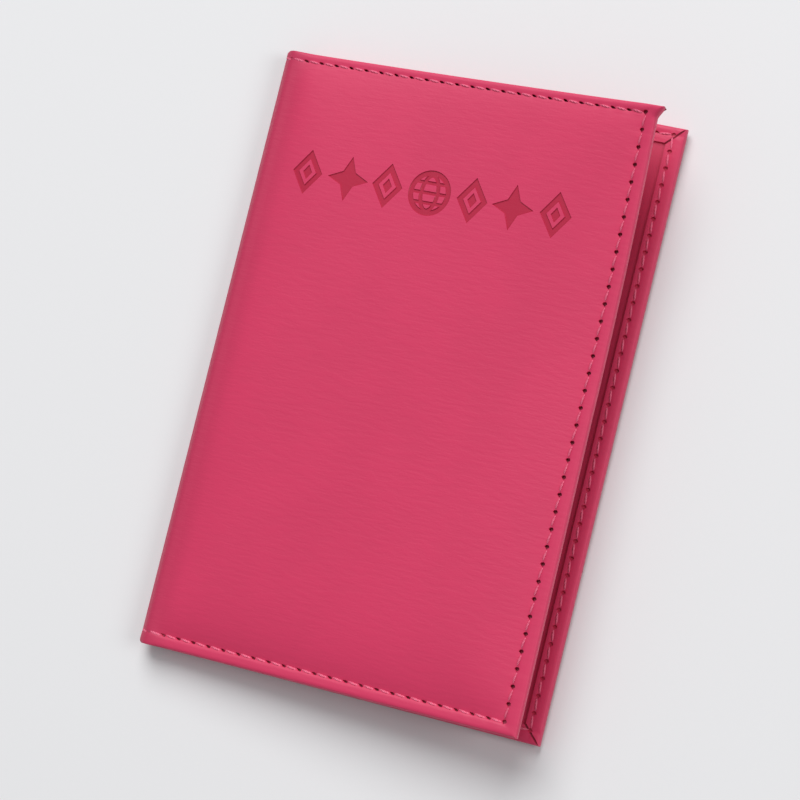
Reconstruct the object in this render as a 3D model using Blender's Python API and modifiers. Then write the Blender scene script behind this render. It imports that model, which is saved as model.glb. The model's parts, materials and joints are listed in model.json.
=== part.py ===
"""Passport holder: a slim leather cover in two padded halves, hinged on a soft spine.

Units are metres, +Z is up. The back half lies on the plane z = 0, the spine runs along Y
and the halves reach from the spine towards +X. The cover rests slightly ajar: the spine
turns about the back crease and the front half turns about the front crease.

Each half is a stack of flat layers, given by their depth below its outside face:
leather, foam, board, lining, pocket flap and the hems that are turned in over the flap.
"""

import math
from collections import namedtuple

import bmesh
import bpy
from mathutils import Vector

MM = 0.001

# Driving dimensions
COVER_HEIGHT = 140.0 * MM       # along the spine
BACK_WIDTH = 95.0 * MM          # spine face to free edge of the back half
FRONT_WIDTH = 94.0 * MM         # spine face to free edge of the front half
CLOSED_THICKNESS = 7.0 * MM     # outside face to outside face when closed
OPENING = math.radians(6.1)     # how far the front half stands open at rest
CREASE_DEPTH = 0.8 * MM         # each crease axis below the outside faces it joins
CORNER_RADIUS = 1.0 * MM        # free corners of the leather
GAP = 0.1 * MM                  # between layers that touch on the real cover

# Layer thicknesses
LEATHER = 0.7 * MM
FOAM = 0.5 * MM
BOARD = 0.4 * MM
LINING = 0.2 * MM
FLAP = 0.45 * MM
HEM = 0.45 * MM
CARD_PANEL = 0.35 * MM
THREAD = 0.2 * MM
INNER_THREAD = 0.15 * MM

# Depth of each layer's outer side below the outside face
FOAM_DEPTH = LEATHER + GAP
BOARD_DEPTH = FOAM_DEPTH + FOAM + GAP
LINING_DEPTH = BOARD_DEPTH + BOARD + GAP
FLAP_DEPTH = LINING_DEPTH + LINING + GAP
HEM_DEPTH = FLAP_DEPTH + FLAP + GAP
HALF_THICKNESS = HEM_DEPTH + HEM
INNER_THREAD_DEPTH = HALF_THICKNESS + GAP
LOWER_CARD_DEPTH = HEM_DEPTH + CARD_PANEL + GAP
UPPER_CARD_THREAD_DEPTH = HEM_DEPTH + CARD_PANEL + GAP
LOWER_CARD_THREAD_DEPTH = LOWER_CARD_DEPTH + CARD_PANEL + GAP

# Plan of the halves, measured in from the edge of the leather
STITCH_MARGIN = 2.45 * MM       # edge to the middle of the seam
HEM_WIDTH = 4.0 * MM
PADDING_INSET = 3.6 * MM        # foam and board stop inside the seam
LINING_INSET = 0.8 * MM
GROOVE_WIDTH = 0.9 * MM
GROOVE_DEPTH = 0.35 * MM
THREAD_WIDTH = 0.5 * MM
THREAD_DEPTH = 0.05 * MM

# Where the layers start, measured from the crease towards the free edge
LEATHER_START = -0.3 * MM
PADDING_START = 3.0 * MM
LINING_START = 1.6 * MM
HEM_START = 1.4 * MM
THREAD_START = 0.3 * MM
BACK_FLAP_START = 30.0 * MM
FRONT_FLAP_START = 5.0 * MM

# Card panels on the front half's flap, measured from the bottom hem
UPPER_CARD_HEIGHT = 88.0 * MM
LOWER_CARD_HEIGHT = 62.0 * MM
CARD_CLEARANCE = 0.5 * MM
CARD_SEAM_MARGIN = 1.5 * MM

# Spine panel between the two creases
SPINE_SPAN = CLOSED_THICKNESS - 2 * CREASE_DEPTH
SPINE_END = 0.4 * MM            # clearance between the panel and each crease axis
SPINE_LINING = 0.2 * MM
SPINE_HEM = 0.45 * MM

# The whole cover is centred on the origin in plan
CREASE_X = -46.57 * MM

PINK_LEATHER = (0.640, 0.065, 0.140)
DARK_PINK_LEATHER = (0.420, 0.035, 0.085)
PINK_THREAD = (0.760, 0.150, 0.240)
PINK_LINING = (0.500, 0.060, 0.120)
CREAM_FOAM = (0.780, 0.740, 0.640)
GREY_BOARD = (0.420, 0.380, 0.320)

# A half of the cover: its outward and inward directions are along local Z.
Half = namedtuple("Half", "name width inward pivot")


def clear_scene():
    for obj in list(bpy.data.objects):
        bpy.data.objects.remove(obj, do_unlink=True)


def new_collection(name):
    group = bpy.data.collections.new(name)
    bpy.context.scene.collection.children.link(group)
    return group


def new_material(name, colour, roughness):
    material = bpy.data.materials.new(name)
    material.use_nodes = True
    shader = material.node_tree.nodes["Principled BSDF"]
    shader.inputs["Base Color"].default_value = (*colour, 1.0)
    shader.inputs["Roughness"].default_value = roughness
    shader.inputs["Metallic"].default_value = 0.0
    return material


def new_pivot(group, name, parent, location, opening):
    """An empty on a crease axis. A positive opening lifts what reaches towards +X."""
    pivot = bpy.data.objects.new(name, None)
    group.objects.link(pivot)
    pivot.parent = parent
    pivot.location = location
    pivot.rotation_euler = (0.0, -opening, 0.0)
    return pivot


def add_piece(group, name, data, material, pivot):
    piece = bpy.data.objects.new(name, data)
    data.materials.append(material)
    group.objects.link(piece)
    piece.parent = pivot
    return piece


def level(half, depth):
    """Local z, from the crease axis, of a depth below the half's outside face."""
    return half.inward * (depth - CREASE_DEPTH)


def rounded_outline(x_low, x_high, y_low, y_high, radius):
    """A rectangle whose two corners at x_high are quarter circles."""
    points = [(x_low, y_high), (x_low, y_low)]
    steps = 4
    for centre_y, first_angle in ((y_low + radius, -90), (y_high - radius, 0)):
        for step in range(steps + 1):
            angle = math.radians(first_angle + 90 * step / steps)
            x = x_high - radius + radius * math.cos(angle)
            y = centre_y + radius * math.sin(angle)
            points.append((x, y))
    return points


def box_outline(x_low, x_high, y_low, y_high):
    return [(x_low, y_low), (x_high, y_low), (x_high, y_high), (x_low, y_high)]


def seam_outline(half, x_low, width):
    """A band of the given width along the seam: top edge, free edge and bottom edge."""
    x_seam = half.width - STITCH_MARGIN
    y_seam = COVER_HEIGHT / 2 - STITCH_MARGIN
    reach = width / 2
    return [
        (x_low, -y_seam - reach),
        (x_seam + reach, -y_seam - reach),
        (x_seam + reach, y_seam + reach),
        (x_low, y_seam + reach),
        (x_low, y_seam - reach),
        (x_seam - reach, y_seam - reach),
        (x_seam - reach, -y_seam + reach),
        (x_low, -y_seam + reach),
    ]


def flat_curve(name, outline, thickness):
    """A flat outline filled on both sides, centred on its own plane."""
    curve = bpy.data.curves.new(name, "CURVE")
    curve.dimensions = "2D"
    curve.fill_mode = "BOTH"
    curve.extrude = thickness / 2
    spline = curve.splines.new("POLY")
    spline.points.add(len(outline) - 1)
    for point, (x, y) in zip(spline.points, outline):
        point.co = (x, y, 0.0, 1.0)
    spline.use_cyclic_u = True
    return curve


def flat_layer(group, name, half, outline, depth, thickness, material):
    """A flat piece whose outer side is at the given depth."""
    curve = flat_curve(name, outline, thickness)
    piece = add_piece(group, name, curve, material, half.pivot)
    piece.location.z = level(half, depth + thickness / 2)
    return piece


def as_mesh(curve_object):
    """Replaces a curve object with a welded mesh object of the same name and place."""
    bpy.context.view_layer.update()
    name = curve_object.name
    graph = bpy.context.evaluated_depsgraph_get()
    mesh = bpy.data.meshes.new_from_object(curve_object.evaluated_get(graph))
    work = bmesh.new()
    work.from_mesh(mesh)
    bmesh.ops.remove_doubles(work, verts=work.verts, dist=0.001 * MM)
    work.to_mesh(mesh)
    work.free()
    piece = bpy.data.objects.new(name + "_mesh", mesh)
    for group in curve_object.users_collection:
        group.objects.link(piece)
    piece.parent = curve_object.parent
    piece.location = curve_object.location
    bpy.data.objects.remove(curve_object, do_unlink=True)
    piece.name = name
    return piece


def round_edges(piece, width):
    bevel = piece.modifiers.new("rounded_edges", "BEVEL")
    bevel.width = width
    bevel.segments = 2
    bevel.limit_method = "ANGLE"
    bevel.angle_limit = math.radians(60)


def cut_with(piece, cutter):
    cutter.hide_render = True
    cutter.display_type = "WIRE"
    cut = piece.modifiers.new("cut_" + cutter.name, "BOOLEAN")
    cut.operation = "DIFFERENCE"
    cut.object = cutter


def add_block(group, name, pivot, low, high, material):
    """A box between two corners, in the pivot's frame."""
    low = Vector(low)
    high = Vector(high)
    work = bmesh.new()
    bmesh.ops.create_cube(work, size=1.0)
    bmesh.ops.scale(work, vec=high - low, verts=work.verts)
    mesh = bpy.data.meshes.new(name)
    work.to_mesh(mesh)
    work.free()
    piece = add_piece(group, name, mesh, material, pivot)
    piece.location = (low + high) / 2
    return piece


def cover_leather(group, cutters, half, material):
    """The outer leather of a half, with the groove that its seam is pulled into."""
    y_edge = COVER_HEIGHT / 2
    outline = rounded_outline(LEATHER_START, half.width, -y_edge, y_edge, CORNER_RADIUS)
    name = half.name + "_leather"
    leather = as_mesh(flat_layer(group, name, half, outline, 0.0, LEATHER, material))
    round_edges(leather, LEATHER / 4)
    overshoot = 1.0 * MM
    groove = seam_outline(half, LEATHER_START - overshoot, GROOVE_WIDTH)
    cutter = flat_layer(
        cutters, half.name + "_seam_groove", half, groove,
        -overshoot, GROOVE_DEPTH + overshoot, material,
    )
    cut_with(leather, as_mesh(cutter))


def padding_layers(group, half, foam_material, board_material):
    """Foam and stiffener board, which stop short of the seam."""
    y_edge = COVER_HEIGHT / 2 - PADDING_INSET
    outline = box_outline(PADDING_START, half.width - PADDING_INSET, -y_edge, y_edge)
    name = half.name + "_foam_padding"
    flat_layer(group, name, half, outline, FOAM_DEPTH, FOAM, foam_material)
    name = half.name + "_stiffener_board"
    flat_layer(group, name, half, outline, BOARD_DEPTH, BOARD, board_material)


def lining_layer(group, half, material):
    y_edge = COVER_HEIGHT / 2 - LINING_INSET
    outline = box_outline(LINING_START, half.width - LINING_INSET, -y_edge, y_edge)
    name = half.name + "_lining"
    flat_layer(group, name, half, outline, LINING_DEPTH, LINING, material)


def pocket_flap(group, half, start, material):
    """The sheet that the passport's cover slips behind, open towards the spine."""
    y_edge = COVER_HEIGHT / 2 - LINING_INSET
    outline = box_outline(start, half.width - LINING_INSET, -y_edge, y_edge)
    name = half.name + "_pocket_flap"
    flat_layer(group, name, half, outline, FLAP_DEPTH, FLAP, material)


def card_panels(group, half, leather, thread):
    """Two stepped panels, each open at its top, and the seam that sews them to the flap.

    The seam runs down the spine side, along the bottom and up the other side: a band on
    the lower panel, and a straight strip at each side of the upper panel above it.
    """
    y_bottom = -COVER_HEIGHT / 2 + HEM_WIDTH + CARD_CLEARANCE
    x_low = FRONT_FLAP_START + CARD_CLEARANCE
    x_high = half.width - HEM_WIDTH - CARD_CLEARANCE
    y_lower = y_bottom + LOWER_CARD_HEIGHT
    y_upper = y_bottom + UPPER_CARD_HEIGHT
    for place, y_top, depth in (
        ("upper", y_upper, HEM_DEPTH),
        ("lower", y_lower, LOWER_CARD_DEPTH),
    ):
        outline = box_outline(x_low, x_high, y_bottom, y_top)
        name = half.name + "_card_panel_" + place
        flat_layer(group, name, half, outline, depth, CARD_PANEL, leather)

    reach = THREAD_WIDTH / 2
    x_left = x_low + CARD_SEAM_MARGIN
    x_right = x_high - CARD_SEAM_MARGIN
    y_seam = y_bottom + CARD_SEAM_MARGIN
    y_end = y_lower - CARD_CLEARANCE
    band = [
        (x_left - reach, y_end),
        (x_left - reach, y_seam - reach),
        (x_right + reach, y_seam - reach),
        (x_right + reach, y_end),
        (x_right - reach, y_end),
        (x_right - reach, y_seam + reach),
        (x_left + reach, y_seam + reach),
        (x_left + reach, y_end),
    ]
    name = half.name + "_card_thread_lower"
    flat_layer(group, name, half, band, LOWER_CARD_THREAD_DEPTH, INNER_THREAD, thread)
    y_low = y_lower + CARD_CLEARANCE
    y_high = y_upper - CARD_CLEARANCE
    for place, x_seam in (("left", x_left), ("right", x_right)):
        strip = box_outline(x_seam - reach, x_seam + reach, y_low, y_high)
        name = half.name + "_card_thread_" + place
        flat_layer(group, name, half, strip, UPPER_CARD_THREAD_DEPTH, INNER_THREAD, thread)


def folded_hem(group, name, half, edge_line, fold_inward, trims, material):
    """A strip of leather turned up round the edge and in over the flap.

    edge_line holds the two ends of the strip on the edge of the leather, fold_inward
    is the direction from the edge into the cover, and trims says how far each end of
    the inner edge is drawn in, which makes the mitre.
    """
    start, end = (Vector((x, y, 0.0)) for x, y in edge_line)
    along = (end - start).normalized()
    inward = Vector((*fold_inward, 0.0))
    wall_low = Vector((0.0, 0.0, level(half, FOAM_DEPTH)))
    wall_high = Vector((0.0, 0.0, level(half, HALF_THICKNESS)))
    lip = inward * HEM_WIDTH
    rows = (
        (start + wall_low, end + wall_low),
        (start + wall_high, end + wall_high),
        (start + wall_high + lip + along * trims[0], end + wall_high + lip - along * trims[1]),
    )
    work = bmesh.new()
    verts = [[work.verts.new(point) for point in row] for row in rows]
    edges = [work.edges.new(row) for row in verts]
    for lower, upper in zip(edges, edges[1:]):
        bmesh.ops.bridge_loops(work, edges=[lower, upper])
    bmesh.ops.recalc_face_normals(work, faces=work.faces)
    wall = max(work.faces, key=lambda face: abs(face.normal.dot(inward)))
    if wall.normal.dot(inward) > 0:
        bmesh.ops.reverse_faces(work, faces=work.faces)
    mesh = bpy.data.meshes.new(name)
    work.to_mesh(mesh)
    work.free()
    hem = add_piece(group, name, mesh, material, half.pivot)
    solid = hem.modifiers.new("leather_thickness", "SOLIDIFY")
    solid.thickness = HEM
    solid.offset = -1.0
    solid.use_even_offset = True
    solid.use_quality_normals = True
    return hem


def cover_hems(group, half, material):
    """Hems along the top, the free edge and the bottom, mitred where they meet."""
    x_low = HEM_START
    x_high = half.width
    y_edge = COVER_HEIGHT / 2
    y_side = y_edge - 2 * HEM - GAP
    mitre = HEM_WIDTH + GAP
    folded_hem(
        group, half.name + "_hem_top", half,
        ((x_low, y_edge), (x_high, y_edge)), (0, -1), (0.0, mitre), material,
    )
    folded_hem(
        group, half.name + "_hem_side", half,
        ((x_high, y_side), (x_high, -y_side)), (-1, 0), (mitre, mitre), material,
    )
    folded_hem(
        group, half.name + "_hem_bottom", half,
        ((x_low, -y_edge), (x_high, -y_edge)), (0, 1), (0.0, mitre), material,
    )


def seam_threads(group, half, material):
    """The outer thread lies in the groove, the inner thread on the hems."""
    outline = seam_outline(half, THREAD_START, THREAD_WIDTH)
    name = half.name + "_outer_thread"
    flat_layer(group, name, half, outline, THREAD_DEPTH, THREAD, material)
    outline = seam_outline(half, HEM_START + GAP, THREAD_WIDTH)
    name = half.name + "_inner_thread"
    flat_layer(group, name, half, outline, INNER_THREAD_DEPTH, INNER_THREAD, material)


def spine_panel(group, cutters, pivot, leather, lining, thread):
    """The strip between the creases: leather, lining, end hems and the seams' threads."""
    z_low = SPINE_END
    z_high = SPINE_SPAN - SPINE_END
    y_edge = COVER_HEIGHT / 2
    y_seam = y_edge - STITCH_MARGIN
    outside = -CREASE_DEPTH
    lining_x = outside + LEATHER + GAP
    hem_x = lining_x + SPINE_LINING + GAP
    thread_x = hem_x + SPINE_HEM + GAP
    skin = add_block(
        group, "spine_leather", pivot,
        (outside, -y_edge, z_low), (outside + LEATHER, y_edge, z_high), leather,
    )
    add_block(
        group, "spine_lining", pivot,
        (lining_x, -y_edge + LINING_INSET, z_low),
        (lining_x + SPINE_LINING, y_edge - LINING_INSET, z_high), lining,
    )
    overshoot = 1.0 * MM
    for place, side in (("top", 1), ("bottom", -1)):
        hem_y = sorted((side * y_edge, side * (y_edge - HEM_WIDTH)))
        add_block(
            group, "spine_hem_" + place, pivot,
            (hem_x, hem_y[0], z_low), (hem_x + SPINE_HEM, hem_y[1], z_high), leather,
        )
        seam_y = side * y_seam
        half_thread = THREAD_WIDTH / 2
        add_block(
            group, "spine_outer_thread_" + place, pivot,
            (outside + THREAD_DEPTH, seam_y - half_thread, z_low),
            (outside + THREAD_DEPTH + THREAD, seam_y + half_thread, z_high), thread,
        )
        add_block(
            group, "spine_inner_thread_" + place, pivot,
            (thread_x, seam_y - half_thread, z_low),
            (thread_x + INNER_THREAD, seam_y + half_thread, z_high), thread,
        )
        half_groove = GROOVE_WIDTH / 2
        cutter = add_block(
            cutters, "spine_seam_groove_" + place, pivot,
            (outside - overshoot, seam_y - half_groove, z_low - overshoot),
            (outside + GROOVE_DEPTH, seam_y + half_groove, z_high + overshoot), leather,
        )
        cut_with(skin, cutter)


def build():
    clear_scene()
    parts = new_collection("passport_holder")
    cutters = new_collection("cutters")

    leather = new_material("pink_leather", PINK_LEATHER, 0.45)
    dark_leather = new_material("dark_pink_leather", DARK_PINK_LEATHER, 0.5)
    thread = new_material("pink_thread", PINK_THREAD, 0.6)
    lining = new_material("pink_lining", PINK_LINING, 0.8)
    foam = new_material("cream_foam", CREAM_FOAM, 0.9)
    board = new_material("grey_board", GREY_BOARD, 0.9)

    crease = new_pivot(parts, "back_crease", None, (CREASE_X, 0.0, CREASE_DEPTH), 0.0)
    spine = new_pivot(parts, "spine_pivot", crease, (0.0, 0.0, 0.0), OPENING / 2)
    front_crease = new_pivot(
        parts, "front_crease", spine, (0.0, 0.0, SPINE_SPAN), OPENING / 2,
    )
    back = Half("back_cover", BACK_WIDTH - CREASE_DEPTH, 1, crease)
    front = Half("front_cover", FRONT_WIDTH - CREASE_DEPTH, -1, front_crease)

    for half, flap_start in ((back, BACK_FLAP_START), (front, FRONT_FLAP_START)):
        cover_leather(parts, cutters, half, leather)
        padding_layers(parts, half, foam, board)
        lining_layer(parts, half, lining)
        pocket_flap(parts, half, flap_start, dark_leather)
        cover_hems(parts, half, leather)
        seam_threads(parts, half, thread)
    card_panels(parts, front, dark_leather, thread)
    spine_panel(parts, cutters, spine, leather, lining, thread)


build()
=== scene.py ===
import json
import math

import bmesh
import bpy
import numpy as np
from mathutils import Matrix, Vector


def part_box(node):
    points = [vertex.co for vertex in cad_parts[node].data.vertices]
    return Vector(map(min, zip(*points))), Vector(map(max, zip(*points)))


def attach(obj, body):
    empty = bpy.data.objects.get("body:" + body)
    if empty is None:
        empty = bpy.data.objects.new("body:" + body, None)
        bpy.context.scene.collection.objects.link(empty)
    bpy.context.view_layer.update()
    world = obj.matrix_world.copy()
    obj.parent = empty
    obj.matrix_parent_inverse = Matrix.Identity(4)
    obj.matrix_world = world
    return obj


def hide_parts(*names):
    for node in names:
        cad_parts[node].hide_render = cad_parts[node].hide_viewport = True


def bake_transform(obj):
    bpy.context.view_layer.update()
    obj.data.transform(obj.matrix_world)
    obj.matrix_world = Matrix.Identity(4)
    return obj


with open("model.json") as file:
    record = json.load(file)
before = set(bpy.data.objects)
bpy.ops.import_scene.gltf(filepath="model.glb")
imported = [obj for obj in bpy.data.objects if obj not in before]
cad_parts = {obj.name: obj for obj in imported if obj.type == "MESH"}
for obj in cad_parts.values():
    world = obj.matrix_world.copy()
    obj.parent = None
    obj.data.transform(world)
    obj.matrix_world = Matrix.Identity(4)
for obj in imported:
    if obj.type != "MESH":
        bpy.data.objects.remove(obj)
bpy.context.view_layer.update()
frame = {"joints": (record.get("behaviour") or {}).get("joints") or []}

# Every piece of the cover is first made flat, as on the bench: X runs over the leather from
# the middle of the spine to the free edge, Y along the spine, and Z out of the outside face,
# so a layer inside the cover has a negative Z. settle() then gives the piece the relief of
# the padding, folds it round the spine and lays it in place on its half of the cover.

MM = 0.001

# Driving sizes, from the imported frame
BACK_CREASE, FRONT_CREASE = (Vector(joint["pos_m"]) for joint in frame["joints"])
SPINE_LEAN = math.atan2(BACK_CREASE.x - FRONT_CREASE.x, FRONT_CREASE.z - BACK_CREASE.z)
SPINE_SPAN = (FRONT_CREASE - BACK_CREASE).length
CREASE_DEPTH = BACK_CREASE.z
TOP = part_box("back_cover_leather")[1].y
FREE_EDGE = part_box("back_cover_leather")[1].x - BACK_CREASE.x
BACK_REACH = FREE_EDGE + 0.95 * MM          # from the crease, as the hem swells the edge
FRONT_REACH = BACK_REACH - 1.95 * MM        # the back stands out a little past the front

# Spine fold, measured along the leather from the middle of the spine
FOLD_RADIUS = 3.0 * MM
FOLD_START = SPINE_SPAN / 2 + CREASE_DEPTH - FOLD_RADIUS
FOLD_END = FOLD_START + FOLD_RADIUS * math.pi / 2
FLAT_X = FOLD_RADIUS - CREASE_DEPTH         # where the flat of a half starts, from the crease
SHEET_SHIFT = FOLD_END - FLAT_X             # distance along the leather minus distance from crease

# Layers, as depths below the outside face where the half has its full thickness
LEATHER = 0.5 * MM
FULL_THICKNESS = 3.2 * MM
SPINE_THICKNESS = 1.4 * MM
SQUEEZE_REACH = 5.0 * MM                    # how far from the fold a half reaches full thickness
FOAM_TOP, FOAM_DEPTH = 0.55 * MM, 0.9 * MM
BOARD_TOP, BOARD_DEPTH = 1.5 * MM, 0.35 * MM
LINING_MIDDLE, LINING_DEPTH = 2.0 * MM, 0.2 * MM
FLAP_TOP, FLAP_DEPTH = 2.2 * MM, 0.45 * MM
UPPER_PANEL_TOP, LOWER_PANEL_TOP = 2.75 * MM, 3.2 * MM
PANEL_DEPTH = 0.35 * MM

# Edges and seams
ROLL = 1.0 * MM
ROLL_SQUARENESS = 0.6
ROLL_STEPS = 10
HEM = 4.0 * MM
HEM_LIP = 3.6 * MM                          # from here to its cut edge the hem's grid is finer
CORNER_REACH = 10.0 * MM                    # how far from an edge the grid follows its rim
SEAM_SIDE = 2.73 * MM
SEAM_TOP = 1.95 * MM
SEAM_BOTTOM = 2.9 * MM
STITCH = 3.866 * MM
STITCHES_UP = 35
FOAM_INSET, BOARD_INSET = 6.8 * MM, 5.2 * MM
FOAM_START, BOARD_START = 6.0 * MM, 4.5 * MM
SHEET_INSET = 0.8 * MM                      # lining and pocket flaps, caught in the seam

# Relief of the padding: how far each edge is pulled down, and how wide its shoulder is
DIP_SIDE, SHOULDER_SIDE = 1.1 * MM, 7.0 * MM
DIP_TOP, SHOULDER_TOP = 0.8 * MM, 9.0 * MM
DIP_BOTTOM, SHOULDER_BOTTOM = 1.35 * MM, 6.0 * MM
DIP_SPINE, SHOULDER_SPINE = 1.3 * MM, 4.5 * MM
MARGIN_DIP, MARGIN_REACH = 0.75 * MM, 0.35 * MM
DEEPEST = 1.45 * MM                         # where two shoulders meet in a corner
FRONT_CROWN = 0.8 * MM                      # the back is pressed flat by what it lies on
PUCKER, PUCKER_REACH = 0.16 * MM, 0.8 * MM
UNEVENNESS = 0.03 * MM
CURL_TOP, CURL_BOTTOM = 4.6 * MM, 0.5 * MM
EAR, EAR_REACH = 1.55 * MM, 3.0 * MM        # the front's free top corner, bent outwards
EAR_DROP, EAR_RISE = 0.15, 0.5              # shares of it that go down the cover and upwards
FLARE = 0.8 * MM                            # its free bottom corner, drawn out by the hem
SKEW = 0.7 * MM                             # how far the back is out of line at its free edge
HEM_FACE = 3.1 * MM                         # depth below which a face shows inside the cover
SEAM_BED, SEAM_BED_WIDTH = 0.12 * MM, 0.5 * MM

# Grid spacing of the sheets, and how far past the fold it stays fine
FOLD_SPACING, FOLD_MARGIN = 0.45 * MM, 2 * MM
PANEL_SPACING, LAYER_SPACING = 1.6 * MM, 2.4 * MM
SEAM_ZONE, SEAM_START = 12 * MM, 1.5 * MM   # how far inside a seam its two spacings start
SHOULDER_SPACING, SEAM_SPACING, RIM_SPACING = 0.8 * MM, 0.24 * MM, 0.2 * MM
MOUTH_SPACING, MOUTH_ZONE = 0.25 * MM, 4.0 * MM

# Pockets
BACK_FLAP_START = 30.0 * MM
FRONT_FLAP_START = 5.0 * MM
PANEL_START, PANEL_INSET = 5.5 * MM, 5.5 * MM
PANEL_FOOT = -65.5 * MM
UPPER_PANEL, LOWER_PANEL = 88.0 * MM, 62.0 * MM
PANEL_SEAM, PANEL_SEAM_END = 1.5 * MM, 1.0 * MM
PANEL_STITCH = 2.6 * MM
MOUTH_CREASE = 2.2 * MM                     # pressed line along a pocket's mouth
MOUTH_CREASE_DEPTH, MOUTH_CREASE_WIDTH = 0.14 * MM, 0.35 * MM
GAPE, GAPE_REACH = 0.45 * MM, 22 * MM       # the back flap's mouth stands open a little


class Half:
    """One half of the cover: its body, its free edge, its end of the spine and its crown."""

    def __init__(self, name, reach, spine_end, crown):
        self.name = name
        self.body = name + "_cover"
        self.reach = reach
        self.sheet = reach + SHEET_SHIFT
        self.spine_end = spine_end
        self.crown = crown


FRONT = Half("front", FRONT_REACH, "top", FRONT_CROWN)
BACK = Half("back", BACK_REACH, "bottom", 0.0)


# ---------------------------------------------------------------- shaping

def ramp(low, high, value):
    """0 below low, 1 above high, and smooth between."""
    t = np.clip((value - low) / (high - low), 0.0, 1.0)
    return t * t * (3 - 2 * t)


def seam_distances(half, along, y):
    """How far a point is inside the side, the top and the bottom seam; negative outside."""
    return half.sheet - SEAM_SIDE - along, TOP - SEAM_TOP - y, TOP - SEAM_BOTTOM + y


def slow_waves(along, y):
    """The unevenness of the padding by hand: slow crossing waves, never above 0."""
    waves = (
        np.sin(along / (9.1 * MM) + 1.3 * np.sin(y / (13.7 * MM)))
        + np.sin(y / (11.3 * MM) + 0.9 * np.sin(along / (17.0 * MM)))
        + 0.6 * np.sin((along - 1.7 * y) / (21.0 * MM))
    )
    return waves - 2.6


def padding_relief(half, along, y):
    """Height of the outside face: padded inside the seams, pulled down at each stitch."""
    side, top, bottom = seam_distances(half, along, y)
    inside = np.minimum(side, np.minimum(top, bottom))
    pull = np.zeros_like(along)
    edges = (
        (side, DIP_SIDE, SHOULDER_SIDE),
        (top, DIP_TOP, SHOULDER_TOP),
        (bottom, DIP_BOTTOM, SHOULDER_BOTTOM),
        (along - FOLD_END, DIP_SPINE, SHOULDER_SPINE),
    )
    for distance, dip, shoulder in edges:
        pull += ((dip + half.crown) * np.exp(-np.clip(distance, 0, None) / shoulder)) ** 3
    pull = np.cbrt(pull) - half.crown
    pull = pull / (1 + (np.clip(pull, 0, None) / DEEPEST) ** 6) ** (1 / 6)
    margin = MARGIN_DIP + np.clip(pull - MARGIN_DIP, 0, None) * np.exp(
        np.clip(inside, None, 0) / MARGIN_REACH)
    height = -np.where(inside > 0, pull, margin)
    run = np.where(side < np.minimum(top, bottom), TOP - SEAM_TOP - y, side)
    gather = 0.5 + 0.5 * np.cos(2 * math.pi * run / STITCH)
    height -= PUCKER * gather * np.exp(-np.abs(inside) / PUCKER_REACH)
    height += UNEVENNESS * slow_waves(along, y) * ramp(0.0, 10 * MM, inside)
    return height * ramp(0.0, FOLD_END, along)


def squeezed(height, along):
    """Draws the inner layers together towards the spine, where no board or foam lies."""
    spread = ramp(FOLD_END - 0.5 * MM, FOLD_END + SQUEEZE_REACH, along)
    thickness = SPINE_THICKNESS + (FULL_THICKNESS - SPINE_THICKNESS) * spread
    core = FULL_THICKNESS - 2 * LEATHER
    packed = -LEATHER + (height + LEATHER) * (thickness - 2 * LEATHER) / core
    hem = height + FULL_THICKNESS - thickness
    return np.where(height > -LEATHER, height, np.where(height > -LEATHER - core, packed, hem))


def fold(along, height):
    """Bench sheet to the closed cover's section: (x, z) from the crease axis."""
    angle = np.clip((along - FOLD_START) / FOLD_RADIUS, 0.0, math.pi / 2)
    radius = FOLD_RADIUS + height
    x = FLAT_X - radius * np.cos(angle) + np.clip(along - FOLD_END, 0.0, None)
    z = CREASE_DEPTH - FOLD_RADIUS + radius * np.sin(angle) + np.clip(along - FOLD_START, None, 0.0)
    return x, z


def turn(x, z, pivot_x, pivot_z, angle):
    """Turns points about an axis along Y; a positive angle opens the cover."""
    dx, dz = x - pivot_x, z - pivot_z
    c, s = np.cos(angle), np.sin(angle)
    return pivot_x + dx * c - dz * s, pivot_z + dx * s + dz * c


# Where the leather stops following its half and starts following the spine
BLEND_START = np.array([2.6, 0.8]) * MM
BLEND_AIM = np.array([-0.78, -0.62])
BLEND_REACH = 3.7 * MM


def placed(half, x, z):
    """A section point, given from the crease axis, in the resting cover."""
    along_blend = (x - BLEND_START[0]) * BLEND_AIM[0] + (z - BLEND_START[1]) * BLEND_AIM[1]
    share = ramp(0.0, BLEND_REACH, along_blend)
    if half is BACK:
        x, z = turn(x, -z, 0.0, 0.0, SPINE_LEAN * share)
        return x + BACK_CREASE.x, z + BACK_CREASE.z
    x, z = turn(x, z, 0.0, 0.0, SPINE_LEAN * (1 - share))
    x, z = x + BACK_CREASE.x, z + BACK_CREASE.z + SPINE_SPAN
    return turn(x, z, BACK_CREASE.x, BACK_CREASE.z, SPINE_LEAN)


def settled(half, points):
    """Where flat bench points lie on the cover, which rests slightly ajar."""
    along, y, height = points.T
    x, z = fold(np.abs(along), squeezed(height, np.abs(along)))
    if half is FRONT:
        curl = np.where(y > 0, CURL_TOP, CURL_BOTTOM) * (y / TOP) ** 2
        z = z + curl * np.clip(x / half.reach, 0.0, None) ** 2
        at_side = ramp(half.sheet - EAR_REACH, half.sheet, along)
        ear = EAR * at_side * ramp(TOP - EAR_REACH, TOP, y)
        x, y, z = x + ear, y - EAR_DROP * ear, z + EAR_RISE * ear
        outside_seam = ramp(half.sheet - SEAM_SIDE, half.sheet, along)
        x = x + FLARE * outside_seam * np.clip(-y / TOP, 0.0, 1.0)
    else:
        y = y - SKEW * np.clip(x / half.reach, 0.0, None)
    near_x, near_z = placed(half, x, z)
    far_x, far_z = placed(BACK if half is FRONT else FRONT, x, z)
    beyond = along < 0
    return np.stack([np.where(beyond, far_x, near_x), y, np.where(beyond, far_z, near_z)], axis=1)


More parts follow.
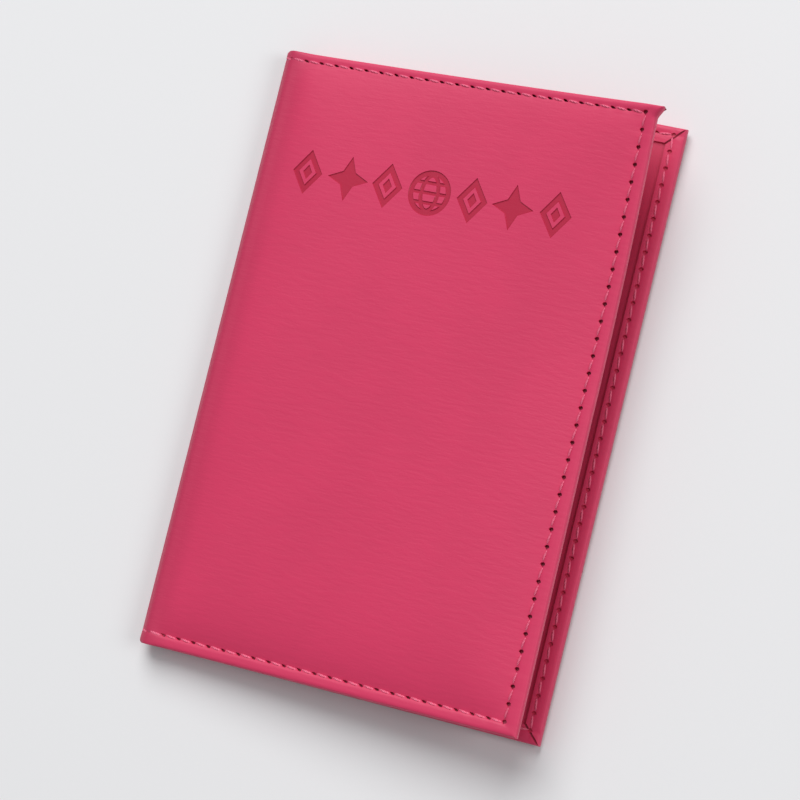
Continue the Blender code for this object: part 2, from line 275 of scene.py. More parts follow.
def coordinates(piece):
    points = np.empty(len(piece.data.vertices) * 3)
    piece.data.vertices.foreach_get("co", points)
    return points.reshape(-1, 3)


def set_coordinates(piece, points):
    piece.data.vertices.foreach_set("co", points.ravel())
    piece.data.update()


def settle(piece, half):
    """Lays a flat bench piece in its place on the cover, and turns its faces outwards."""
    points = coordinates(piece)
    along, y, height = points.T.copy()
    follows = np.interp(-height, (FOAM_TOP, FOAM_TOP + FOAM_DEPTH), (1.0, 0.0))
    points[:, 2] += follows * padding_relief(half, along, y)
    side, top, bottom = seam_distances(half, along, y)
    off_seam = np.minimum(np.abs(side), np.minimum(np.abs(top), np.abs(bottom)))
    bed = SEAM_BED * np.exp(-(off_seam / SEAM_BED_WIDTH) ** 2)
    points[:, 2] += bed * (height < -HEM_FACE)
    set_coordinates(piece, settled(half, points))
    if half is BACK:
        piece.data.flip_normals()
    return piece


# ---------------------------------------------------------------- modelling

def focus(piece):
    bpy.ops.object.select_all(action="DESELECT")
    piece.select_set(True)
    bpy.context.view_layer.objects.active = piece


def apply_modifiers(piece):
    focus(piece)
    for modifier in list(piece.modifiers):
        bpy.ops.object.modifier_apply(modifier=modifier.name)


def named(name, material):
    """Names the object that was just added and gives it its material."""
    piece = bpy.context.active_object
    piece.name = name
    piece.data.name = name
    piece.data.materials.append(material)
    return piece


def copied(piece):
    copy = piece.copy()
    copy.data = piece.data.copy()
    bpy.context.scene.collection.objects.link(copy)
    return copy


def join(pieces, name):
    bpy.ops.object.select_all(action="DESELECT")
    for piece in pieces:
        piece.select_set(True)
    bpy.context.view_layer.objects.active = pieces[0]
    bpy.ops.object.join()
    joined = bpy.context.active_object
    joined.name = name
    joined.data.name = name
    return joined


def stations(*stretches):
    """Positions from stretches of (start, end, spacing), each end shared with the next start."""
    found = [stretches[0][0]]
    for start, end, spacing in stretches:
        count = max(1, math.ceil((end - start) / spacing - 1e-6))
        found += [start + (end - start) * i / count for i in range(1, count + 1)]
    return np.array(found)


def grid_piece(name, columns, rows, height, material):
    """A flat grid whose columns and rows stand at the given positions."""
    bpy.ops.mesh.primitive_grid_add(
        x_subdivisions=len(columns) - 1, y_subdivisions=len(rows) - 1, size=2)
    piece = named(name, material)
    points = coordinates(piece)
    i = np.rint((points[:, 0] + 1) / 2 * (len(columns) - 1)).astype(int)
    j = np.rint((points[:, 1] + 1) / 2 * (len(rows) - 1)).astype(int)
    set_coordinates(piece, np.stack([columns[i], rows[j], np.full(len(i), height)], axis=1))
    return piece


def thicken(piece, thickness, offset=-1.0):
    shell = piece.modifiers.new("thickness", "SOLIDIFY")
    shell.thickness = thickness
    shell.offset = offset
    shell.use_quality_normals = True
    apply_modifiers(piece)


def soften_rim(piece, width):
    """Rounds the cut edges of a plate or sheet."""
    bevel = piece.modifiers.new("rim", "BEVEL")
    bevel.width = width
    bevel.segments = 2
    bevel.limit_method = "ANGLE"
    bevel.angle_limit = math.radians(60)
    apply_modifiers(piece)


def split_large_faces(piece):
    """Splits the many-sided faces round a cut while they are still flat."""
    split = piece.modifiers.new("split", "TRIANGULATE")
    split.min_vertices = 5
    apply_modifiers(piece)


def smooth(piece, degrees=32):
    focus(piece)
    bpy.ops.object.shade_smooth_by_angle(angle=math.radians(degrees))


def cut(piece, cutter):
    """Cuts one piece with another, which leaves its own material on the cut."""
    boolean = piece.modifiers.new("cut", "BOOLEAN")
    boolean.object = cutter
    boolean.operation = "DIFFERENCE"
    boolean.solver = "EXACT"
    boolean.material_mode = "TRANSFER"
    apply_modifiers(piece)
    bpy.data.objects.remove(cutter, do_unlink=True)


# ---------------------------------------------------------------- leather

def drawn_in(value, limit, old, new):
    """Moves a rim coordinate from one offset inside the limit to another, corner to corner."""
    flat = limit - CORNER_REACH
    size = abs(value)
    if size <= flat:
        return value
    moved = flat + (size - flat) * (CORNER_REACH - new) / (CORNER_REACH - old)
    return math.copysign(moved, value)


def extrude_rim(sheet, half, old, new, height):
    """Extrudes the selected rim once, to an offset inside the edge and a height."""
    bpy.ops.mesh.extrude_region_move()
    mesh = bmesh.from_edit_mesh(sheet.data)
    for vert in mesh.verts:
        if vert.select:
            vert.co.x = drawn_in(vert.co.x, half.sheet, old, new)
            vert.co.y = drawn_in(vert.co.y, TOP, old, new)
            vert.co.z = height
    bmesh.update_edit_mesh(sheet.data)


def select_rim(sheet):
    """Selects the open edges, all but those in the middle of the spine."""
    bpy.ops.mesh.select_mode(type="EDGE")
    bpy.ops.mesh.select_all(action="DESELECT")
    mesh = bmesh.from_edit_mesh(sheet.data)
    for edge in mesh.edges:
        at_spine = all(vert.co.x < 0.01 * MM for vert in edge.verts)
        edge.select_set(edge.is_boundary and not at_spine)
    bmesh.update_edit_mesh(sheet.data)


def edge_stretches(seam, rim):
    """Grid spacing that grows fine towards a seam and the rolled edge outside it."""
    return (
        (seam - SEAM_ZONE, seam - SEAM_START, SHOULDER_SPACING),
        (seam - SEAM_START, rim - RIM_SPACING, SEAM_SPACING),
        (rim - RIM_SPACING, rim, RIM_SPACING),
    )


def leather_sheet(half, material):
    """The outer leather: a flat sheet rolled over its three free edges into a hem."""
    seam_x = half.sheet - SEAM_SIDE
    columns = stations(
        (0.0, FOLD_END + FOLD_MARGIN, FOLD_SPACING),
        (FOLD_END + FOLD_MARGIN, seam_x - SEAM_ZONE, PANEL_SPACING),
        *edge_stretches(seam_x, half.sheet - ROLL))
    upper, lower = (
        stations(
            (0.0, TOP - seam - SEAM_ZONE, PANEL_SPACING), *edge_stretches(TOP - seam, TOP - ROLL))
        for seam in (SEAM_TOP, SEAM_BOTTOM))
    rows = np.concatenate([-lower[:0:-1], upper])
    sheet = grid_piece(half.name + "_leather", columns, rows, 0.0, material)
    bpy.ops.object.mode_set(mode="EDIT")
    select_rim(sheet)
    old = ROLL
    for step in range(1, ROLL_STEPS + 1):
        angle = math.pi * step / ROLL_STEPS
        new = ROLL * (1 - max(math.sin(angle), 0.0) ** ROLL_SQUARENESS)
        level = math.copysign(abs(math.cos(angle)) ** ROLL_SQUARENESS, math.cos(angle))
        extrude_rim(sheet, half, old, new, FULL_THICKNESS * (level - 1) / 2)
        old = new
    for new in stations((ROLL, HEM_LIP, 0.3 * MM), (HEM_LIP, HEM, RIM_SPACING))[1:]:
        extrude_rim(sheet, half, old, new, -FULL_THICKNESS)
        old = new
    bpy.ops.mesh.select_all(action="SELECT")
    bpy.ops.mesh.normals_make_consistent(inside=False)
    bpy.ops.object.mode_set(mode="OBJECT")
    if sheet.data.polygons[0].normal.z < 0:
        sheet.data.flip_normals()
    thicken(sheet, LEATHER)
    return sheet


def seam_holes(half):
    """Bench places of the needle holes, round the three edges: (x, y, heading of the seam)."""
    x_side, y_top, y_bottom = half.sheet - SEAM_SIDE, TOP - SEAM_TOP, SEAM_BOTTOM - TOP
    count = int(x_side // STITCH)
    rise = (y_top - y_bottom) / STITCHES_UP
    found = [(x_side - STITCH * k, y_top, 0.0) for k in range(count, 0, -1)]
    found += [(x_side, y_top - rise * k, -math.pi / 2) for k in range(STITCHES_UP + 1)]
    found += [(x_side - STITCH * k, y_bottom, math.pi) for k in range(1, count + 1)]
    return found


HOLE_RADIUS = 0.5 * MM
HOLE_WAIST = 0.45                           # how far a hole narrows towards its point
SIDE_HOLE, END_HOLE = (1.1, 1.2), (1.5, 0.56)
SIDE_LEAN, END_LEAN, LEAN_SPREAD = 4, 16, 5


def needle_cutter(half, material):
    """Needle holes, right through the leather and the hem: wide at the start, then pointed."""
    rng = np.random.default_rng(7)
    bpy.ops.mesh.primitive_cylinder_add(vertices=8, radius=HOLE_RADIUS, depth=8 * MM)
    hole = named("needle_hole", material)
    points = coordinates(hole)
    points[:, 1] *= np.where(points[:, 0] > 0.4 * HOLE_RADIUS, HOLE_WAIST, 1.0)
    set_coordinates(hole, points)
    holes = []
    for x, y, heading in seam_holes(half):
        along_side = heading == -math.pi / 2
        size = SIDE_HOLE if along_side else END_HOLE
        slant = SIDE_LEAN if along_side else END_LEAN
        lean = heading - math.radians(slant + rng.uniform(-LEAN_SPREAD, LEAN_SPREAD))
        shape = Matrix.Rotation(lean, 4, "Z") @ Matrix.Diagonal((*size, 1.0, 1.0))
        copy = copied(hole)
        copy.data.transform(Matrix.Translation((x, y, 0)) @ shape)
        holes.append(copy)
    bpy.data.objects.remove(hole)
    return join(holes, "needle_holes")


MITRE_WIDTH, MITRE_LENGTH = 0.24 * MM, 7 * MM
MITRE_CENTRE = 2.6 * MM                     # from both edges


def mitre_cutter(half, material):
    """Where two hems meet in a corner, one is folded over the other along a slanting line."""
    cuts = []
    for end in (-1, 1):
        bpy.ops.mesh.primitive_cylinder_add(vertices=4, radius=MITRE_WIDTH, depth=MITRE_LENGTH)
        groove = named("mitre_groove", material)
        lay = Matrix.Rotation(math.pi / 2, 4, "Y")
        slant = Matrix.Rotation(end * math.pi / 4, 4, "Z")
        place = Matrix.Translation((
            half.sheet - MITRE_CENTRE, end * (TOP - MITRE_CENTRE), -FULL_THICKNESS - 0.02 * MM))
        groove.data.transform(place @ slant @ lay)
        cuts.append(groove)
    return join(cuts, "mitre_grooves")


# ---------------------------------------------------------------- stitching

THREAD_WIDTH, THREAD_HEIGHT = 0.25 * MM, 0.22 * MM
THREAD_DIVE, THREAD_RISE = 0.45 * MM, 0.07 * MM


def stitch(material, side):
    """One stitch of unit run: a thread that bulges outwards and dives in at both ends."""
    bpy.ops.mesh.primitive_uv_sphere_add(segments=6, ring_count=8, radius=1.0)
    thread = named("stitch", material)
    thread.data.transform(Matrix.Rotation(math.pi / 2, 4, "Y"))
    points = coordinates(thread)
    run = points[:, 0].copy()
    points[:, 1] *= THREAD_WIDTH
    level = THREAD_RISE - THREAD_DIVE * run ** 4
    points[:, 2] = side * (points[:, 2] * THREAD_HEIGHT + level)
    set_coordinates(thread, points)
    if side < 0:
        thread.data.flip_normals()
    return thread


def sewn(name, rows, side, material, slant=7.0, fill=0.42):
    """Rows of stitches between needle holes; each row is a list of (x, y, z)."""
    pattern = stitch(material, side)
    made = []
    for row in rows:
        for start, end in zip(row, row[1:]):
            start, end = Vector(start), Vector(end)
            run = end - start
            heading = math.atan2(run.y, run.x) - side * math.radians(slant)
            place = Matrix.Translation((start + end) / 2) @ Matrix.Rotation(heading, 4, "Z")
            copy = copied(pattern)
            copy.data.transform(place @ Matrix.Diagonal((run.xy.length * fill, 1, 1, 1)))
            made.append(copy)
    bpy.data.objects.remove(pattern)
    return join(made, name)


def seam_row(half, height):
    """The holes of the seam, with the stitch that crosses the spine on the front half."""
    row = [(x, y, height) for x, y, _ in seam_holes(half)]
    if half is FRONT:
        beyond = -((BACK.sheet - SEAM_SIDE) % STITCH)
        row = [(beyond, row[0][1], height)] + row + [(beyond, row[-1][1], height)]
    return row


# ---------------------------------------------------------------- pressed emblem

EMBLEM_CENTRE = Vector((44.2 * MM + SHEET_SHIFT, 42.6 * MM))
EMBLEM_HEIGHT = 10.4 * MM
STAMP_TOP = 0.3 * MM
STAMP_WALL = 0.38 * MM
STAMP_CHAMFER = 0.16 * MM
GLOBE_STROKE = 1.25 * MM
MERIDIAN_WIDTH, MERIDIAN_STROKE = 5.0 * MM, 0.95 * MM
PARALLEL_STROKE = 0.8 * MM
PARALLELS = (-0.22, 0.0, 0.22)              # as shares of the globe's height
GLOBE_INSET = 1.4 * MM                      # the lines inside it end in its rim
STAR_REACH, STAR_WIDTH, STAR_WAIST = 20.6 * MM, 10.2 * MM, 0.44
LOZENGE_REACHES = (10.6 * MM, 31.0 * MM)
LOZENGE_WIDTH, LOZENGE_STROKE = 7.6 * MM, 1.3 * MM
KERNEL_WIDTH, KERNEL_HEIGHT = 2.3 * MM, 3.4 * MM


def pressed(outline, width, height, offset_x, offset_y=0.0):
    """Places a flat unit outline, at its size, where its stamp starts above the leather."""
    place = Matrix.Translation((EMBLEM_CENTRE.x + offset_x, EMBLEM_CENTRE.y + offset_y, STAMP_TOP))
    outline.data.transform(place @ Matrix.Diagonal((width / 2, height / 2, 1, 1)))
    return outline


def deepen(outline):
    """Makes the outline being edited a shallow stamp with a chamfered foot."""
    bpy.ops.mesh.select_all(action="SELECT")
    bpy.ops.mesh.extrude_region_move(TRANSFORM_OT_translate={"value": (0, 0, -STAMP_WALL)})
    bpy.ops.mesh.inset(thickness=STAMP_CHAMFER, depth=-STAMP_CHAMFER)
    bpy.ops.mesh.select_all(action="SELECT")
    bpy.ops.mesh.normals_make_consistent(inside=False)
    bpy.ops.object.mode_set(mode="OBJECT")
    return outline


def stamp_ring(offset, width, height, stroke, sides, material):
    """A hollow stamp: an ellipse, or with four sides a lozenge."""
    bpy.ops.mesh.primitive_circle_add(vertices=sides, radius=1, fill_type="NGON")
    ring = pressed(named("stamp", material), width, height, offset)
    bpy.ops.object.mode_set(mode="EDIT")
    bpy.ops.mesh.select_all(action="SELECT")
    bpy.ops.mesh.inset(thickness=stroke)
    bpy.ops.mesh.delete(type="FACE")
    return deepen(ring)


def stamp_solid(offset, width, height, points_out, waist, material):
    """A solid stamp: a lozenge, or a star whose inner corners are drawn in to the waist."""
    bpy.ops.mesh.primitive_circle_add(vertices=points_out * 2, radius=1, fill_type="NGON")
    star = named("stamp", material)
    corners = coordinates(star)
    corners[1::2] *= waist
    set_coordinates(star, corners)
    pressed(star, width, height, offset)
    bpy.ops.object.mode_set(mode="EDIT")
    return deepen(star)


def stamp_bar(offset_y, width, height, material):
    bpy.ops.mesh.primitive_plane_add(size=2)
    bar = pressed(named("stamp", material), width, height, 0.0, offset_y)
    bpy.ops.object.mode_set(mode="EDIT")
    return deepen(bar)


def press_emblem(sheet, material):
    """A globe between compass stars and lozenges, pressed into the front."""
    tall = EMBLEM_HEIGHT
    motifs = [stamp_ring(0.0, tall, tall, GLOBE_STROKE, 64, material)]
    for side in (-1, 1):
        motifs.append(stamp_solid(side * STAR_REACH, STAR_WIDTH, tall, 4, STAR_WAIST, material))
        for reach in LOZENGE_REACHES:
            at = side * reach
            motifs.append(stamp_ring(at, LOZENGE_WIDTH, tall, LOZENGE_STROKE, 4, material))
            motifs.append(stamp_solid(at, KERNEL_WIDTH, KERNEL_HEIGHT, 2, 1.0, material))
    cut(sheet, join(motifs, "emblem_outline"))
    cut(sheet, stamp_ring(
        0.0, MERIDIAN_WIDTH, tall - GLOBE_INSET, MERIDIAN_STROKE, 48, material))
    parallels = []
    for share in PARALLELS:
        chord = 2 * math.sqrt(0.25 - share * share) * tall
        parallels.append(stamp_bar(share * tall, chord - GLOBE_INSET, PARALLEL_STROKE, material))
    cut(sheet, join(parallels, "emblem_parallels"))


# ---------------------------------------------------------------- finishes

class Value:
    """A value in a finish, so that a formula on it reads as plain arithmetic."""

    def __init__(self, finish, socket):
        self.finish = finish
        self.socket = socket

    def maths(self, operation, first, second):
        return self.finish.node("ShaderNodeMath", {"operation": operation}, {0: first, 1: second})

    def __add__(self, other):
        return self.maths("ADD", self, other)

    def __sub__(self, other):
        return self.maths("SUBTRACT", self, other)

    def __rsub__(self, other):
        return self.maths("SUBTRACT", other, self)

    def __mul__(self, other):
        return self.maths("MULTIPLY", self, other)

    __radd__ = __add__
    __rmul__ = __mul__


class Finish:
    """A procedural finish, whose patterns are laid out in metres on the resting cover."""

    def __init__(self, name):
        self.material = bpy.data.materials.new(name)
        self.material.use_nodes = True
        self.tree = self.material.node_tree
        self.shader = self.tree.nodes["Principled BSDF"]
        self.place = self.node("ShaderNodeTexCoord", {}, {}, "Object")

    def node(self, kind, settings, sockets, output=0):
        made = self.tree.nodes.new(kind)
        for name, value in settings.items():
            setattr(made, name, value)
        for key, value in sockets.items():
            if isinstance(value, Value):
                self.tree.links.new(value.socket, made.inputs[key])
            else:
                made.inputs[key].default_value = value
        return Value(self, made.outputs[output])

    def set(self, **values):
        """Sets the shader's own sockets, which are named with _ for a space."""
        for name, value in values.items():
            socket = self.shader.inputs[name.replace("_", " ")]
            if isinstance(value, Value):
                self.tree.links.new(value.socket, socket)
            else:
                socket.default_value = value

    def laid(self, stretch, turned=(0, 0, 0)):
        """The object's coordinates, stretched for patterns that run one way."""
        return self.node("ShaderNodeMapping", {}, {
            "Vector": self.place, "Rotation": turned, "Scale": stretch})

    def clouds(self, scale, detail=3.0, roughness=0.5, place=None):
        return self.node("ShaderNodeTexNoise", {}, {
            "Vector": place or self.place, "Scale": scale, "Detail": detail,
            "Roughness": roughness})

    def cells(self, scale, place=None):
        return self.node("ShaderNodeTexVoronoi", {"feature": "SMOOTH_F1"}, {
            "Vector": place or self.place, "Scale": scale, "Smoothness": 0.6})

    def bands(self, scale, place):
        return self.node("ShaderNodeTexWave", {"bands_direction": "X"}, {
            "Vector": place, "Scale": scale, "Distortion": 0.0, "Detail": 0.0}, 1)

    def between(self, low, high, value):
        return self.node("ShaderNodeMapRange", {"interpolation_type": "SMOOTHSTEP"}, {
            "Value": value, "From Min": low, "From Max": high})

    def mixed(self, share, first, second):
        """A colour part way from the first to the second."""
        return self.node("ShaderNodeMix", {"data_type": "RGBA"}, {
            0: share, 6: first, 7: second}, 2)

    def bump(self, height, depth):
        self.set(Normal=self.node("ShaderNodeBump", {}, {"Height": height, "Distance": depth}))


def tint(colour, factor):
    return (*(min(1.0, channel * factor) for channel in colour), 1.0)


def soft_leather(name, colour, gloss, wrinkles, depth):
    """Coated leather: a close grain, faint creases with painted shade between them, and painted
    shade that darkens the strip along the spine.
    """
    finish = Finish(name)
    across = finish.node("ShaderNodeSeparateXYZ", {}, {0: finish.place})
    # Painted shade: within 8 mm of the back crease the colour is darkened towards 0.80 of itself,
    # standing in for the spine's slope turned from the light.
    spine_shade_share = 1 - finish.between(BACK_CREASE.x, BACK_CREASE.x + 8 * MM, across)
    grain = finish.cells(2300.0)
    pores = finish.clouds(5200.0, 2.0)
    creases = finish.clouds(1.0, 4.0, 0.55, finish.laid((230.0, 1100.0, 500.0), (0, 0, 0.1)))
    blotches = finish.clouds(55.0, 2.0)
    folds = finish.between(0.36, 0.62, creases)
    shade = finish.mixed(finish.between(0.3, 0.7, blotches), tint(colour, 0.98), tint(colour, 1.02))
    # Painted shade along the spine, mixed into the leather's own blotchy tone.
    shade = finish.mixed(spine_shade_share, shade, tint(colour, 0.80))
    finish.set(
        # Painted shade: the ground between the raised creases is painted up to 8% darker than the
        # creases.
        Base_Color=finish.mixed((1 - folds) * (0.08 * wrinkles), shade, tint(colour, 0.75)),
        Roughness=gloss + 0.10 * pores + 0.06 * wrinkles * (1 - folds),
        Specular_IOR_Level=0.42,
        Sheen_Weight=0.06,
        Sheen_Roughness=0.4)
    finish.bump(0.5 * grain + 0.3 * pores + 0.8 * wrinkles * folds, depth)
    return finish.material


def raw_edge(name, colour):
    """The cut leather inside a needle hole: dull and fibrous."""
    finish = Finish(name)
    fibres = finish.clouds(9000.0, 4.0)
    finish.set(
        Base_Color=finish.mixed(fibres, tint(colour, 0.7), tint(colour, 1.3)),
        Roughness=0.8 + 0.1 * fibres)
    finish.bump(fibres, 0.04 * MM)
    return finish.material


def twisted_thread(name, colour):
    """Sewing thread: three plies that wind round it."""
    finish = Finish(name)
    wound = finish.node("ShaderNodeUVMap", {"uv_map": "UVMap"}, {})
    plies = finish.bands(1.0, finish.node("ShaderNodeMapping", {}, {
        "Vector": wound, "Rotation": (0, 0, 0.9), "Scale": (1.6, 2.4, 1.0)}))
    lint = finish.clouds(12000.0, 2.0)
    finish.set(
        Base_Color=finish.mixed(plies, tint(colour, 0.85), tint(colour, 1.08)),
        Roughness=0.42 + 0.2 * lint,
        Specular_IOR_Level=0.6)
    finish.bump(plies + 0.2 * lint, 0.06 * MM)
    return finish.material


def woven_lining(name, colour):
    """A thin woven lining: fine threads over and under each other, with a soft shine."""
    finish = Finish(name)
    warp = finish.bands(330.0, finish.place)
    weft = finish.bands(330.0, finish.laid((1, 1, 1), (0, 0, math.pi / 2)))
    weave = warp * weft + (1 - warp) * (1 - weft)
    slubs = finish.clouds(1.0, 2.0, 0.5, finish.laid((60.0, 900.0, 60.0)))
    finish.set(
        Base_Color=finish.mixed(
            0.6 * weave + 0.4 * slubs, tint(colour, 0.75), tint(colour, 1.15)),
        Roughness=0.5 + 0.15 * slubs)
    finish.bump(weave, 0.03 * MM)
    return finish.material


def open_foam(name, colour):
    """Padding foam, full of small open cells."""
    finish = Finish(name)
    cells = finish.cells(1500.0)
    finish.set(
        Base_Color=finish.mixed(
            finish.between(0.0, 0.5, cells), tint(colour, 0.6), tint(colour, 1.0)),
        Roughness=0.9 - 0.1 * cells)
    finish.bump(cells, 0.12 * MM)
    return finish.material


def grey_board(name, colour):
    """Pressed board, with flecks and short fibres."""
    finish = Finish(name)
    fibres = finish.clouds(1.0, 5.0, 0.6, finish.laid((300.0, 1500.0, 800.0)))
    flecks = finish.between(0.62, 0.7, finish.clouds(1400.0, 1.0))
    finish.set(
        Base_Color=finish.mixed(
            0.5 * flecks + 0.4 * fibres, tint(colour, 1.1), tint(colour, 0.55)),
        Roughness=0.85 + 0.1 * fibres)
    finish.bump(fibres, 0.03 * MM)
    return finish.material


def matt_paper(name, colour):
    """The pale paper sweep that the cover lies on."""
    finish = Finish(name)
    tooth = finish.clouds(900.0, 3.0)
    finish.set(
        Base_Color=finish.mixed(tooth, tint(colour, 0.995), tint(colour, 1.005)),
        Roughness=0.9,
        Specular_IOR_Level=0.2)
    return finish.material


PINK = (0.645, 0.036, 0.115)

COVER = soft_leather("pink_cover_leather", PINK, 0.42, 1.0, 0.018 * MM)
PRESSED = soft_leather("pressed_cover_leather", (0.46, 0.010, 0.050), 0.38, 0.4, 0.012 * MM)
# Painted shade: the pocket leather is the cover's pink painted darker, standing in for the shade
# inside the cover.
SHADED_POCKET = soft_leather("pink_pocket_leather", (0.56, 0.030, 0.094), 0.47, 0.25, 0.018 * MM)
RAW = raw_edge("raw_leather_edge", (0.22, 0.004, 0.022))
NEEDLED = raw_edge("needle_hole_edge", (0.70, 0.012, 0.065))
THREAD = twisted_thread("pink_thread", (0.82, 0.12, 0.23))
LINING = woven_lining("rose_lining", (0.42, 0.035, 0.09))
FOAM = open_foam("cream_foam", (0.78, 0.74, 0.66))
BOARD = grey_board("grey_board", (0.36, 0.32, 0.27))


# ---------------------------------------------------------------- the cover

def bend(piece, half):
    """Bakes the piece's placement into its mesh; the blend ends across the crease that it works out
    are not used.
    """
    ends = (BLEND_START, BLEND_START + BLEND_AIM * BLEND_REACH)
    start, end = (Vector((x, 0.0, z)) for x, z in (placed(half, *point) for point in ends))
    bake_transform(piece)


def even(low, high, spacing):
    return stations((low, high, spacing))


def cover_leather(half):
    sheet = leather_sheet(half, COVER)
    if half is FRONT:
        press_emblem(sheet, PRESSED)
    cut(sheet, needle_cutter(half, NEEDLED))
    cut(sheet, mitre_cutter(half, RAW))
    split_large_faces(sheet)
    settle(sheet, half)
    smooth(sheet)
    bend(sheet, half)
    own_nodes = ("leather", "hem_top", "hem_side", "hem_bottom")
    stands_for = [half.body + "_" + node for node in own_nodes]
    stands_for.append("spine_hem_" + half.spine_end)
    if half is FRONT:
        stands_for.append("spine_leather")
    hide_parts(*stands_for)


def plate(half, name, start, inset, top, depth, rim, material):
    """A flat layer that lies inside the seam."""
    columns = even(start + SHEET_SHIFT, half.sheet - inset, LAYER_SPACING)
    rows = even(-TOP + inset, TOP - inset, LAYER_SPACING)
    made = grid_piece(half.name + "_" + name, columns, rows, -top, material)
    thicken(made, depth)
    soften_rim(made, rim)
    settle(made, half)
    smooth(made)
    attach(made, half.body)
    return made


def padding(half):
    foam = plate(
        half, "foam_padding", FOAM_START, FOAM_INSET, FOAM_TOP, FOAM_DEPTH, 0.2 * MM, FOAM)
    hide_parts(half.body + "_foam_padding")


def stiffener(half):
    board = plate(
        half, "stiffener_board", BOARD_START, BOARD_INSET, BOARD_TOP, BOARD_DEPTH, 0.1 * MM, BOARD)
    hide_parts(half.body + "_stiffener_board")


def lining(half):
    """The lining runs from the seams to the middle of the spine."""
    width, length = half.sheet - SHEET_INSET, 2 * (TOP - SHEET_INSET)
    columns = stations(
        (0.0, FOLD_END + FOLD_MARGIN, FOLD_SPACING),
        (FOLD_END + FOLD_MARGIN, width, LAYER_SPACING))
    rows = even(-length / 2, length / 2, LAYER_SPACING)
    sheet = grid_piece(half.name + "_lining", columns, rows, -LINING_MIDDLE, LINING)
    settle(sheet, half)
    thicken(sheet, LINING_DEPTH, 0.0)
    smooth(sheet)
    bend(sheet, half)
    stands_for = [half.body + "_lining"] + (["spine_lining"] if half is FRONT else [])
    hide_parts(*stands_for)


def pressed_crease(distance):
    """Depth of the line that is pressed along the mouth of a pocket."""
    return MOUTH_CREASE_DEPTH * np.exp(-((distance - MOUTH_CREASE) / MOUTH_CREASE_WIDTH) ** 2)


def mouth_stretches(mouth, far):
    """Grid spacing that is fine along a pocket's mouth and its pressed crease."""
    inner = mouth + math.copysign(MOUTH_ZONE, far - mouth)
    return stations((mouth, inner, MOUTH_SPACING), (inner, far, LAYER_SPACING))


def pocket_flap(half, start, gap):
    """The sheet under the hem whose mouth faces the spine, and gapes a little."""
    mouth = start + SHEET_SHIFT
    end, length = half.sheet - SHEET_INSET, 2 * (TOP - SHEET_INSET)
    columns, rows = mouth_stretches(mouth, end), even(-length / 2, length / 2, LAYER_SPACING)
    flap = grid_piece(half.name + "_pocket_flap", columns, rows, -FLAP_TOP, SHADED_POCKET)
    thicken(flap, FLAP_DEPTH)
    soften_rim(flap, 0.12 * MM)
    points = coordinates(flap)
    gape = np.clip(1 - (points[:, 1] / (TOP - HEM)) ** 4, 0.0, 1.0)
    gape *= np.exp(-((points[:, 0] - mouth) / GAPE_REACH) ** 2)
    inner_face = ramp(-FLAP_TOP, -FLAP_TOP - FLAP_DEPTH, points[:, 2])
    points[:, 2] += inner_face * pressed_crease(points[:, 0] - mouth) - gap * gape
    set_coordinates(flap, points)
    settle(flap, half)
    smooth(flap)
    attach(flap, half.body)
    end - mouth
    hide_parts(half.body + "_pocket_flap")


def panel_ends():
    """Bench places of the card panels' long sides."""
    return PANEL_START + SHEET_SHIFT, FRONT.sheet - PANEL_INSET


def card_panel(name, height, top):
    """A card pocket's face: sewn down at its foot and sides, open along its top."""
    left, right = panel_ends()
    rows = mouth_stretches(PANEL_FOOT + height, PANEL_FOOT)[::-1]
    columns = even(left, right, LAYER_SPACING)
    panel = grid_piece("front_card_panel_" + name, columns, rows, -top, SHADED_POCKET)
    thicken(panel, PANEL_DEPTH)
    soften_rim(panel, 0.1 * MM)
    points = coordinates(panel)
    inner_face = ramp(-top, -top - PANEL_DEPTH, points[:, 2])
    points[:, 2] += inner_face * pressed_crease(PANEL_FOOT + height - points[:, 1])
    set_coordinates(panel, points)
    settle(panel, FRONT)
    smooth(panel)
    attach(panel, FRONT.body)
    right - left
    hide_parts("front_cover_card_panel_" + name)


def stitching(piece, half, *nodes):
    settle(piece, half)
    smooth(piece, 60)
    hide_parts(*nodes)


def seam_stitches(half):
    """The seam's thread on both faces; only the front's outer row crosses the spine."""
    for face, side, height in (("outer", 1, 0.0), ("inner", -1, -FULL_THICKNESS)):
        thread = sewn("%s_%s_stitches" % (half.name, face), [seam_row(half, height)], side, THREAD)
        stitching(
            thread, half, "%s_%s_thread" % (half.body, face),
            "spine_%s_thread_%s" % (face, half.spine_end))
        bend(thread, half)


def card_stitches():
    left, right = panel_ends()
    left, right = left + PANEL_SEAM, right - PANEL_SEAM
    foot = PANEL_FOOT + PANEL_SEAM
    step, lip = PANEL_FOOT + LOWER_PANEL, PANEL_FOOT + UPPER_PANEL - PANEL_SEAM_END
    on_lower, on_upper = -LOWER_PANEL_TOP - PANEL_DEPTH, -UPPER_PANEL_TOP - PANEL_DEPTH
    across = [(x, foot, on_lower) for x in even(left, right, PANEL_STITCH)]
    rows = {"lower": [across]}
    for name, x in (("left", left), ("right", right)):
        lower = [(x, y, on_lower) for y in even(foot, step - 0.5 * MM, PANEL_STITCH)]
        upper = [(x, y, on_upper) for y in even(step + 0.8 * MM, lip, PANEL_STITCH)]
        rows[name] = [lower, upper]
    for name, lines in rows.items():
        thread = sewn("front_card_stitches_" + name, lines, -1, THREAD)
        stitching(thread, FRONT, "front_cover_card_thread_" + name)
        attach(thread, FRONT.body)


for half in (FRONT, BACK):
    cover_leather(half)
    padding(half)
    stiffener(half)
    lining(half)
    seam_stitches(half)
pocket_flap(BACK, BACK_FLAP_START, GAPE)
pocket_flap(FRONT, FRONT_FLAP_START, 0.0)
card_panel("upper", UPPER_PANEL, UPPER_PANEL_TOP)
card_panel("lower", LOWER_PANEL, LOWER_PANEL_TOP)
card_stitches()


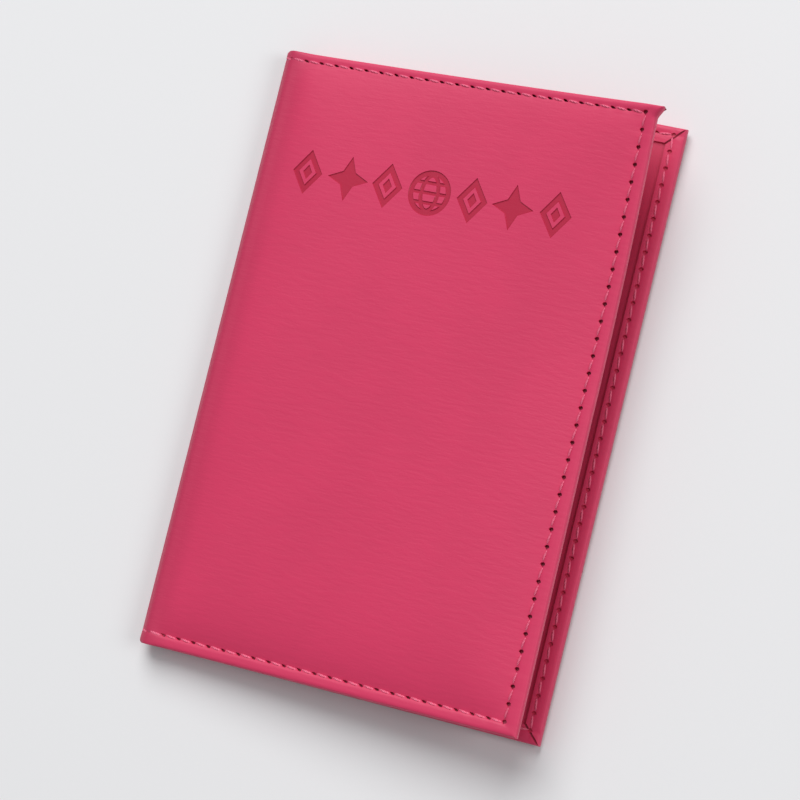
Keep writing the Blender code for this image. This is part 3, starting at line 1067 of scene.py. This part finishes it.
# ---------------------------------------------------------------- the setting

CAMERA_AIM = Vector((0.00002, -0.00355, 0.007))
CAMERA_DISTANCE = 0.66976
CAMERA_AZIMUTH, CAMERA_ELEVATION, CAMERA_ROLL = 75.75, 71.451, -62.59
LENS = 135.0
FILM = 36.0

SKY_COLOUR, SKY_STRENGTH = (0.97, 0.98, 1.0, 1), 0.30
KEY_PLACE, KEY_SIZE, KEY_POWER = (-0.40, 1.90, 2.155), 2.3, 74.0
FILL_PLACE, FILL_SIZE, FILL_POWER = (1.99, 0.27, 1.65), 1.2, 16.0


def paper_sweep():
    bpy.ops.object.select_all(action="DESELECT")
    bpy.ops.mesh.primitive_plane_add(size=4.0, location=(0, 0, 0))
    named("floor", matt_paper("pale_paper", (0.80, 0.80, 0.81)))


def soft_light(name, place, size, power):
    light = bpy.data.lights.new(name, "AREA")
    light.shape = "DISK"
    light.size = size
    light.energy = power
    lamp = bpy.data.objects.new(name, light)
    bpy.context.scene.collection.objects.link(lamp)
    lamp.location = place
    lamp.rotation_euler = (-Vector(place)).to_track_quat("-Z", "Y").to_euler()


def studio_light():
    world = bpy.data.worlds.new("studio")
    bpy.context.scene.world = world
    world.use_nodes = True
    background = world.node_tree.nodes["Background"]
    background.inputs["Color"].default_value = SKY_COLOUR
    background.inputs["Strength"].default_value = SKY_STRENGTH
    soft_light("key", KEY_PLACE, KEY_SIZE, KEY_POWER)
    soft_light("fill", FILL_PLACE, FILL_SIZE, FILL_POWER)
    bpy.context.scene.view_settings.view_transform = "Standard"


def camera():
    azimuth, elevation = math.radians(CAMERA_AZIMUTH), math.radians(CAMERA_ELEVATION)
    back = Vector((
        math.sin(azimuth) * math.cos(elevation),
        -math.cos(azimuth) * math.cos(elevation),
        math.sin(elevation)))
    right = Vector((0, 0, 1)).cross(back).normalized()
    level = Matrix((right, back.cross(right), back)).transposed()
    lens = bpy.data.cameras.new("camera")
    lens.lens = LENS
    lens.sensor_width = FILM
    eye = bpy.data.objects.new("camera", lens)
    bpy.context.scene.collection.objects.link(eye)
    turned = level @ Matrix.Rotation(math.radians(CAMERA_ROLL), 3, "Z")
    eye.matrix_world = Matrix.Translation(CAMERA_AIM + back * CAMERA_DISTANCE) @ turned.to_4x4()
    bpy.context.scene.camera = eye


paper_sweep()
studio_light()
camera()
